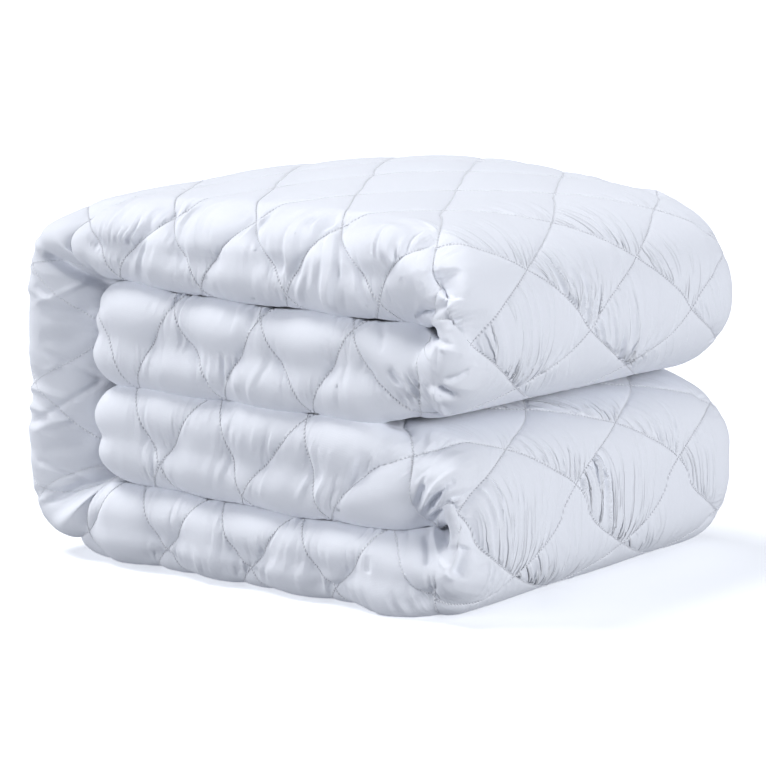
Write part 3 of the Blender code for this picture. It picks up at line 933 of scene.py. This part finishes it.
def add_stitches(context, cover):
    """The sewing thread: one short closed piece of thread for each stitch on a seam that shows."""
    settings = context.scene.topper
    strip = FoldedStrip(settings)
    a, b, way = seam_places(strip, settings.stitch_pitch).T
    lattice = Lattice(strip)
    points = cover_points(lattice, settings, solid_tree())
    ends = []
    for side in (-1, 1):
        half = side * settings.stitch_length / strip.short / 4
        ends.append(on_seam(lattice, points, a + half, b - way * half, way))
    along = strip.crossing + a * strip.short
    v = strip.seam_row(along) + b * strip.long
    tree = BVHTree.FromObject(cover, context.evaluated_depsgraph_get())
    shown = stitches_that_show(strip, along, v) & (unquilted(ends[0], tree) > STITCH_SHOWS)
    starts, stops = (e[shown] for e in ends)
    bm = bmesh.new()
    width = settings.thread_width
    for start, stop in zip(starts, stops):
        start_at, normal, _, _ = tree.find_nearest(Vector(start))
        stop_at, other, _, _ = tree.find_nearest(Vector(stop))
        axis = stop_at - start_at
        stretch = axis.length / settings.stitch_length
        if STITCH_STRETCH[0] < stretch < STITCH_STRETCH[1] and start_at.z >= width:
            add_stitch(bm, start_at, axis, (normal + other).normalized(), width)
    mesh = bpy.data.meshes.new("quilting_stitches")
    bm.to_mesh(mesh)
    bm.free()
    mesh.shade_smooth()
    mesh.materials.append(polyester_thread(settings))
    stitches = link_object(context, "quilting_stitches", mesh)
    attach(stitches, "root")
    return stitches


def add_stitch(bm, start, axis, up, width):
    """One stitch: rings of thread from start along axis, closed at both ends."""
    side = axis.cross(up).normalized() * width / 2
    lift = up * width / 2
    rings = []
    for place, share in STITCH_RINGS:
        centre = start + axis * place + lift * (1 - 2 * STITCH_SUNK) * share
        turns = [2 * math.pi * (i + 0.5) / STITCH_SIDES for i in range(STITCH_SIDES)]
        rings.append([bm.verts.new(centre + (side * math.cos(t) + lift * math.sin(t)) * share)
                      for t in turns])
    for ring, following in zip(rings, rings[1:]):
        for i in range(STITCH_SIDES):
            j = (i + 1) % STITCH_SIDES
            bm.faces.new((ring[i], ring[j], following[j], following[i]))
    bm.faces.new(rings[0][::-1])
    bm.faces.new(rings[-1])


def stitches_that_show(strip, along, v):
    """Not those between the layers, inside the folds, or under the bundle."""
    near_out, far_out, flat, thick = strip.across(v)
    outside = (strip.within(along, "upper_fold") > 0) & (strip.within(along, "lower_fold") < 1)
    under = (strip.within(along, "layer_4") > 0) & (strip.within(along, "layer_4") < 1)
    face = (flat > 0) & (flat < 1)
    edge = np.maximum(near_out, far_out) > EDGE_SHOWS
    return np.where(face, (thick > 0) & outside & ~under, edge)


# ---------------------------------------------------------------- materials

def linear(code):
    """The linear colour of an sRGB hex code."""
    shares = [int(code[i:i + 2], 16) / 255 for i in (1, 3, 5)]
    return [s / 12.92 if s <= 0.04045 else ((s + 0.055) / 1.055) ** 2.4 for s in shares]


def add_node(tree, kind, *inputs, **settings):
    """A shader node with its settings, and its inputs in order: a value, a socket or None each."""
    node = tree.nodes.new("ShaderNode" + kind)
    for name, value in settings.items():
        setattr(node, name, value)
    for target, given in zip(node.inputs, inputs):
        if isinstance(given, bpy.types.NodeSocket):
            tree.links.new(given, target)
        elif given is not None:
            target.default_value = given
    return node.outputs[0]


def new_material(name):
    material = bpy.data.materials.new(name)
    material.use_nodes = True
    return material, material.node_tree, material.node_tree.nodes["Principled BSDF"]


def set_inputs(shader, values):
    for name, value in values.items():
        shader.inputs[name].default_value = value


def dress(tree, shader, height, shade, colour):
    """Gives a shader its bump, and its colour with lighter and darker places."""
    bump = add_node(tree, "Bump", 1.0, 1.0)
    tree.links.new(height, bump.node.inputs["Height"])
    tree.links.new(bump, shader.inputs["Normal"])
    shaded = add_node(tree, "VectorMath", tuple(colour), operation="SCALE")
    tree.links.new(shade, shaded.node.inputs["Scale"])
    tree.links.new(shaded, shader.inputs["Base Color"])


def off_seams(node, part, settings):
    """Distance off the nearest seam of one family."""
    off = node("Math", part, 0.5, operation="PINGPONG")
    return node("Math", off, settings.diamond * SIN_SEAM, operation="MULTIPLY")


FINE_FAN_SPACING = 0.0120
FINE_FAN_HEIGHT = 0.0028
FINE_FAN_RUN = 0.7  # random values along a crease, in half the height of a diamond
FINE_FAN_WIDTH = 0.08
FINE_FAN_LOW = (0.05, 0.65, 1.0, 0.12)  # off the lower seam: from, to, and the height's share there
FINE_FAN_ENDS = (0.005, 0.035)  # off the nearest seam, in sides of a diamond
FINE_FAN_STRENGTH = (0.4, 1.1)  # of the diamond least creased and of the one most creased
DIAMOND_SEEDS = 40.0  # how far apart the diamonds' creases are taken from the noise


def fine_fans(node, settings, parts, shares):
    """Height of the creases of the fold faces that are too narrow for the mesh."""
    p, q = (node("Math", part, operation="FRACT") for part in parts[:2])
    cell = [node("Math", part, operation="FLOOR") for part in parts[:2]]
    luck = node("TexWhiteNoise", node("CombineXYZ", *cell))
    up = node("Math", p, q, operation="ADD")
    down = node("Math", 2.0, up, operation="SUBTRACT")
    bow = node("Math", up, down, operation="MULTIPLY")
    bow = node("Math", bow, FAN_BEND, operation="MULTIPLY")
    aside = node("Math", p, q, operation="SUBTRACT")
    aside = node("Math", aside, settings.diamond * SIN_SEAM, operation="MULTIPLY")
    aside = node("Math", aside, bow, operation="SUBTRACT")
    narrows = node("Math", up, 0.5, FAN_REACH, operation="MULTIPLY_ADD")
    lines = node("Math", aside, narrows, operation="DIVIDE")
    lines = node("Math", lines, (0.5 + FAN_REACH) / FINE_FAN_SPACING, operation="MULTIPLY")
    run = node("Math", up, FINE_FAN_RUN, operation="MULTIPLY")
    seed = node("Math", luck, DIAMOND_SEEDS, operation="MULTIPLY")
    wave = node("TexNoise", node("CombineXYZ", lines, run, seed), None, 1.0, 1.0, 0.5)
    middle = node("Math", node("Math", wave, 0.5, operation="SUBTRACT"), operation="ABSOLUTE")
    ridge = node("MapRange", middle, 0.0, FINE_FAN_WIDTH, 1.0, 0.0,
                 interpolation_type="SMOOTHSTEP")
    most = node("Math", 1.0, node("Math", p, q, operation="MAXIMUM"), operation="SUBTRACT")
    least = node("Math", p, q, operation="MINIMUM")
    off = node("Math", most, least, operation="MINIMUM")
    height = node("MapRange", off, *FINE_FAN_ENDS, 0.0, FINE_FAN_HEIGHT)
    for share in (ridge, node("MapRange", p, *FINE_FAN_LOW),
                  node("MapRange", luck, 0.0, 1.0, *FINE_FAN_STRENGTH), shares[0]):
        height = node("Math", height, share, operation="MULTIPLY")
    return height


FINE_GATHER_SPACING = 0.0060
FINE_GATHER_HEIGHT = 0.0050
FINE_GATHER_LENGTH = 0.0256
FINE_GATHER_RUN = 1 / 30  # length of cloth along which a gather changes
FINE_GATHER_SEAM = 1 / 35  # length of seam along which they come and go
FINE_GATHER_PATCH = (0.38, 0.58)  # of the noise, from no gathers to full ones
FINE_GATHER_START = (0.0004, 0.003)  # off the seam
SEAM_SEED, SIDE_SEED = 7.3, 3.1  # each seam, and each side of it, has its own gathers


def fine_gathers(node, settings, parts, shares):
    """Height of the gathers beside the seams that are too narrow for the mesh."""
    side = settings.diamond
    x = node("Math", parts[0], parts[1], operation="ADD")
    y = node("Math", parts[0], parts[1], operation="SUBTRACT")
    lines = node("Math", x, side / 2 / FINE_GATHER_SPACING, operation="MULTIPLY")
    run = node("Math", y, side * SIN_SEAM / FINE_GATHER_RUN, operation="MULTIPLY")
    come_and_go = node("Math", y, side * SIN_SEAM / FINE_GATHER_SEAM, operation="MULTIPLY")
    heights = []
    for number in (0, 1):
        off = off_seams(node, parts[number], settings)
        above = node("Math", parts[number], operation="FRACT")
        above = node("Math", above, 0.5, operation="LESS_THAN")
        seam = node("Math", parts[number], operation="ROUND")
        seam = node("Math", seam, SEAM_SEED, operation="MULTIPLY")
        seed = node("Math", above, SIDE_SEED, seam, operation="MULTIPLY_ADD")
        wave = node("TexNoise", node("CombineXYZ", lines, run, seed), None, 1.0, 1.0, 0.5)
        height = node("Math", wave, 0.5, operation="SUBTRACT")
        patch = node("TexNoise", node("CombineXYZ", come_and_go, seam, above), None, 1.0, 0.0)
        signed = node("Math", above, 0.5, operation="SUBTRACT")
        signed = node("Math", signed, shares[2], operation="MULTIPLY")
        handed = node("MapRange", signed, -0.25, 0.25, OTHER_SIDE, 1.0) if number == 0 else 0.5
        for share in (node("MapRange", patch, *FINE_GATHER_PATCH, 0.0, 1.0),
                      node("MapRange", off, *FINE_GATHER_START, 0.0, FINE_GATHER_HEIGHT),
                      node("MapRange", off, 0.0, FINE_GATHER_LENGTH, 1.0, 0.0,
                           interpolation_type="SMOOTHSTEP"), shares[1], handed):
            height = node("Math", height, share, operation="MULTIPLY")
        heights.append(height)
    return node("Math", *heights, operation="ADD")


HOLE_RADIUS = 0.00096  # real needle holes are about 0.5 mm wide, drawn wider so that they show
HOLE_DEPTH = 0.0006
HOLE_PAINTED_SHADE = 0.08  # painted shade: how much darker the colour is made inside a needle hole, where the hole lies in shadow
BEAD_HEIGHT = 0.00045  # cloth bulges between one needle hole and the next
BEAD_WIDTH = 0.0022
GROOVE_WIDTH = 0.0016  # the tight thread draws the cloth down along the seam
GROOVE_DEPTH = 0.0003
WEAVE_SPACING = 0.0009  # real threads lie about 0.15 mm apart, too fine to show
WEAVE_HEIGHT = 0.00003
NAP_SIZE = 0.0035  # tufts of the brushed fibres
NAP_HEIGHT = 0.00008
NAP_SHADE = 0.02  # how much lighter the raised fibres are than the laid ones


def seam_marks(node, settings, parts):
    """Needle holes, which get a bump and painted shade, beads between them, and distance off the
    nearest seam.
    """
    side = settings.diamond
    per_side = round(side / settings.stitch_pitch)
    offs, holes, beads = [], [], []
    for across, along in ((parts[0], parts[1]), (parts[1], parts[0])):
        off = off_seams(node, across, settings)
        phase = node("Math", along, float(per_side), operation="MULTIPLY")
        phase = node("Math", phase, 0.5, operation="PINGPONG")
        to_hole = node("Math", phase, side / per_side, operation="MULTIPLY")
        off_squared = node("Math", off, off, operation="MULTIPLY")
        distance = node("Math", to_hole, to_hole, off_squared, operation="MULTIPLY_ADD")
        near = node("MapRange", off, 0.0, BEAD_WIDTH, 2.0, 0.0, interpolation_type="SMOOTHSTEP")
        offs.append(off)
        holes.append(node("MapRange", distance, 0.0, HOLE_RADIUS ** 2, 1.0, 0.0))
        beads.append(node("Math", phase, near, operation="MULTIPLY"))
    hole = node("Math", node("Math", *holes, operation="MAXIMUM"), parts[2], operation="MULTIPLY")
    bead = node("Math", node("Math", *beads, operation="MAXIMUM"), parts[2], operation="MULTIPLY")
    return hole, bead, node("Math", *offs, operation="MINIMUM")


def brushed_microfibre(settings):
    """Polyester microfibre, woven and then brushed on its face.

    The fine fibres scatter the light, so it is matt, with a faint bloom where it turns away. The
    weave hardly shows under the nap, and the needle pulls a small hole at each stitch, inside
    which the colour is darkened by painted shade.
    """
    material, tree, shader = new_material("brushed_microfibre")
    node = functools.partial(add_node, tree)
    pattern = node("Attribute", attribute_name="pattern").node.outputs["Vector"]
    parts = node("SeparateXYZ", pattern).node.outputs
    creased = node("Attribute", attribute_name="creased").node.outputs["Vector"]
    shares = node("SeparateXYZ", creased).node.outputs
    hole, bead, off = seam_marks(node, settings, parts)
    groove = node("MapRange", off, 0.0, GROOVE_WIDTH, -GROOVE_DEPTH, 0.0,
                  interpolation_type="SMOOTHSTEP")
    threads = settings.diamond / WEAVE_SPACING
    weave = node("VectorMath", pattern, (threads, threads, 0), operation="MULTIPLY")
    weave = node("TexChecker", weave, (1, 1, 1, 1), (0, 0, 0, 1), 1.0)
    place = node("TexCoord").node.outputs["Object"]
    nap = node("TexNoise", place, None, 1 / NAP_SIZE, 3.0, 0.6)

    height = node("Math", groove, parts[2], operation="MULTIPLY")
    for share, full in ((weave, WEAVE_HEIGHT), (nap, NAP_HEIGHT), (bead, BEAD_HEIGHT),
                        (hole, -HOLE_DEPTH), (fine_fans(node, settings, parts, shares), 1.0),
                        (fine_gathers(node, settings, parts, shares), 1.0)):
        height = node("Math", share, full, height, operation="MULTIPLY_ADD")
    shade = node("Math", nap, NAP_SHADE, 1 - NAP_SHADE / 2, operation="MULTIPLY_ADD")
    # painted shade: the colour is darkened inside each needle hole
    shade = node("Math", hole, -HOLE_PAINTED_SHADE, shade, operation="MULTIPLY_ADD")
    dress(tree, shader, height, shade, settings.cloth_colour)
    set_inputs(shader, {"Roughness": 0.80, "IOR": 1.5, "Sheen Weight": 0.15,
                        "Sheen Roughness": 0.4})
    return material


FIBRE_SIZE = 0.0005  # real fibres are a tenth of this, too fine to show
FIBRE_HEIGHT = 0.00006
FIBRE_SHADE = (0.94, 1.04)  # from the laid fibres to the raised ones


def polyester_thread(settings):
    """Spun polyester sewing thread: short fibres twisted together, smoother than the cloth.

    It glints a little along its round back, and the twist breaks the glint up.
    """
    material, tree, shader = new_material("spun_polyester_thread")
    node = functools.partial(add_node, tree)
    place = node("TexCoord").node.outputs["Object"]
    fibres = node("TexNoise", place, None, 1 / FIBRE_SIZE, 2.0, 0.5)
    height = node("Math", fibres, FIBRE_HEIGHT, operation="MULTIPLY")
    shade = node("MapRange", fibres, 0.0, 1.0, *FIBRE_SHADE)
    dress(tree, shader, height, shade, settings.thread_colour)
    set_inputs(shader, {"Roughness": 0.55, "IOR": 1.5})
    return material


def lit_table():
    """Opal acrylic, lit from below: even and matt, and bright enough to thin out the shadows."""
    material, _, shader = new_material("opal_acrylic")
    set_inputs(shader, {
        "Base Color": (*linear("#F2F4F7"), 1), "Roughness": 0.9, "Specular IOR Level": 0.2,
        "Emission Color": (*linear("#FCFDFF"), 1), "Emission Strength": TABLE_GLOW})
    return material


# ---------------------------------------------------------------- the stage

CAMERA_TURN = math.radians(37.647)  # from straight on to the near edge, towards the folds
CAMERA_HEIGHT = math.radians(8.948)  # above level
CAMERA_DISTANCE = 2.882
CAMERA_TARGET = (0.0, 0.0, 0.18)
CAMERA_LENS = 139.04  # mm
SENSOR = 36.0  # mm
IMAGE = 766  # side of the photo, in pixels
PHOTO_SHIFT = (1.0, -18.43)  # how far the photo's centre lies from the target, in pixels
FLOOR_RADIUS = 60.0
LAMPS = (  # name, direction from the bundle, strength, apparent size in degrees
    ("key", (-0.48, -0.14, 0.86), 1.74, 25),
    ("side", (0.80, 0.02, 0.16), 1.80, 25),
    ("front", (-0.42, -0.88, 0.08), 1.68, 30),
)
TABLE_GLOW = 0.42
PRINT_GAMMA = 0.80  # a little more contrast in the whites
SKY_COLOUR = "#EEF3FF"
SKY_STRENGTH = 0.38


def camera_axes():
    """The camera's right, up and back."""
    back = Vector((math.sin(CAMERA_TURN) * math.cos(CAMERA_HEIGHT),
                   -math.cos(CAMERA_TURN) * math.cos(CAMERA_HEIGHT), math.sin(CAMERA_HEIGHT)))
    right = Vector((math.cos(CAMERA_TURN), math.sin(CAMERA_TURN), 0))
    return right, back.cross(right), back


def camera_place():
    return Vector(CAMERA_TARGET) + camera_axes()[2] * CAMERA_DISTANCE


def add_stage(context):
    scene = context.scene
    mesh = bpy.data.meshes.new("floor")
    bm = bmesh.new()
    bmesh.ops.create_circle(bm, cap_ends=True, radius=FLOOR_RADIUS, segments=96)
    bm.to_mesh(mesh)
    bm.free()
    mesh.materials.append(lit_table())
    floor = link_object(context, "floor", mesh)
    floor.visible_diffuse = False  # its light, thrown up at the cloth, would hide the creases

    world = bpy.data.worlds.new("soft_sky")
    world.use_nodes = True
    set_inputs(world.node_tree.nodes["Background"],
               {"Color": (*linear(SKY_COLOUR), 1), "Strength": SKY_STRENGTH})
    scene.world = world

    for name, direction, strength, size in LAMPS:
        lamp = bpy.data.lights.new(name, "SUN")
        lamp.energy = strength
        lamp.angle = math.radians(size)
        light = link_object(context, name, lamp)
        light.rotation_euler = Vector(direction).to_track_quat("Z", "Y").to_euler()

    pose = Matrix(camera_axes()).transposed().to_4x4()
    pose.translation = camera_place()
    lens = bpy.data.cameras.new("camera")
    lens.lens, lens.sensor_width = CAMERA_LENS, SENSOR
    lens.shift_x, lens.shift_y = (s / IMAGE for s in PHOTO_SHIFT)
    lens.clip_end = 2 * FLOOR_RADIUS
    camera = link_object(context, "camera", lens)
    camera.matrix_world = pose
    scene.camera = camera
    scene.view_settings.view_transform = "Standard"
    scene.view_settings.gamma = PRINT_GAMMA


# ---------------------------------------------------------------- the add-on

class TopperSettings(bpy.types.PropertyGroup):
    """Sizes and colours of the topper."""

    length: bpy.props.FloatProperty(
        name="Length", description="From the wrap to the folds", default=0.536, unit="LENGTH")
    depth: bpy.props.FloatProperty(
        name="Depth", description="From the near folded edge to the far one",
        default=0.476, unit="LENGTH")
    layer: bpy.props.FloatProperty(
        name="Layer", description="Height of one layer where the bundle is fullest",
        default=0.0955, unit="LENGTH")
    gap: bpy.props.FloatProperty(
        name="Gap", description="Air between two layers", default=0.0024, unit="LENGTH")
    diamond: bpy.props.FloatProperty(
        name="Diamond", description="Short diagonal of the quilting's diamonds",
        default=0.1012, unit="LENGTH")
    depth_on_edges: bpy.props.FloatProperty(
        name="Seam depth on edges", description="Valley of a seam on the soft folded edges",
        default=0.0115, unit="LENGTH")
    depth_on_faces: bpy.props.FloatProperty(
        name="Seam depth on faces", description="Valley of a seam on the stretched faces",
        default=0.0026, unit="LENGTH")
    stitch_pitch: bpy.props.FloatProperty(
        name="Stitch pitch", description="From one stitch to the next", default=0.0034,
        unit="LENGTH")
    stitch_length: bpy.props.FloatProperty(
        name="Stitch length", description="Thread that shows of one stitch", default=0.0027,
        unit="LENGTH")
    thread_width: bpy.props.FloatProperty(
        name="Thread width", description="Drawn twice as thick as real thread, so that it shows",
        default=0.0010, unit="LENGTH")
    cloth_colour: bpy.props.FloatVectorProperty(
        name="Cloth", description="Colour of the brushed cloth", subtype="COLOR",
        default=linear("#F1F3F8"))
    thread_colour: bpy.props.FloatVectorProperty(
        name="Thread", description="Colour of the sewing thread", subtype="COLOR",
        default=linear("#F8F9FC"))


class TOPPER_OT_cover(bpy.types.Operator):
    """Build the quilted cover of the folded topper"""

    bl_idname = "topper.cover"
    bl_label = "Cover"

    def execute(self, context):
        cover = add_cover(context)
        if not cover.data.polygons:
            raise RuntimeError("the cover has no faces")
        return {"FINISHED"}


class TOPPER_OT_stitches(bpy.types.Operator):
    """Lay the sewing thread along the seams of the cover"""

    bl_idname = "topper.stitches"
    bl_label = "Stitches"

    def execute(self, context):
        stitches = add_stitches(context, bpy.data.objects["topper_cover"])
        if not stitches.data.polygons:
            raise RuntimeError("no stitch lies on the cover")
        return {"FINISHED"}


class TOPPER_OT_stage(bpy.types.Operator):
    """Set up the floor, the light and the camera"""

    bl_idname = "topper.stage"
    bl_label = "Stage"

    def execute(self, context):
        add_stage(context)
        return {"FINISHED"}


class TOPPER_PT_panel(bpy.types.Panel):
    bl_idname = "TOPPER_PT_panel"
    bl_label = "Folded topper"
    bl_space_type = "VIEW_3D"
    bl_region_type = "UI"
    bl_category = "Topper"

    def draw(self, context):
        settings = context.scene.topper
        for name in settings.bl_rna.properties.keys():
            if name not in ("rna_type", "name"):
                self.layout.prop(settings, name)
        for operator in OPERATORS:
            self.layout.operator(operator.bl_idname)


OPERATORS = (TOPPER_OT_cover, TOPPER_OT_stitches, TOPPER_OT_stage)
CLASSES = (TopperSettings, *OPERATORS, TOPPER_PT_panel)


def register():
    for cls in CLASSES:
        bpy.utils.register_class(cls)
    bpy.types.Scene.topper = bpy.props.PointerProperty(type=TopperSettings)


def unregister():
    del bpy.types.Scene.topper
    for cls in reversed(CLASSES):
        bpy.utils.unregister_class(cls)


def main():
    register()
    bpy.ops.topper.stage()
    bpy.ops.topper.cover()
    bpy.ops.topper.stitches()


if __name__ == "__main__":
    main()
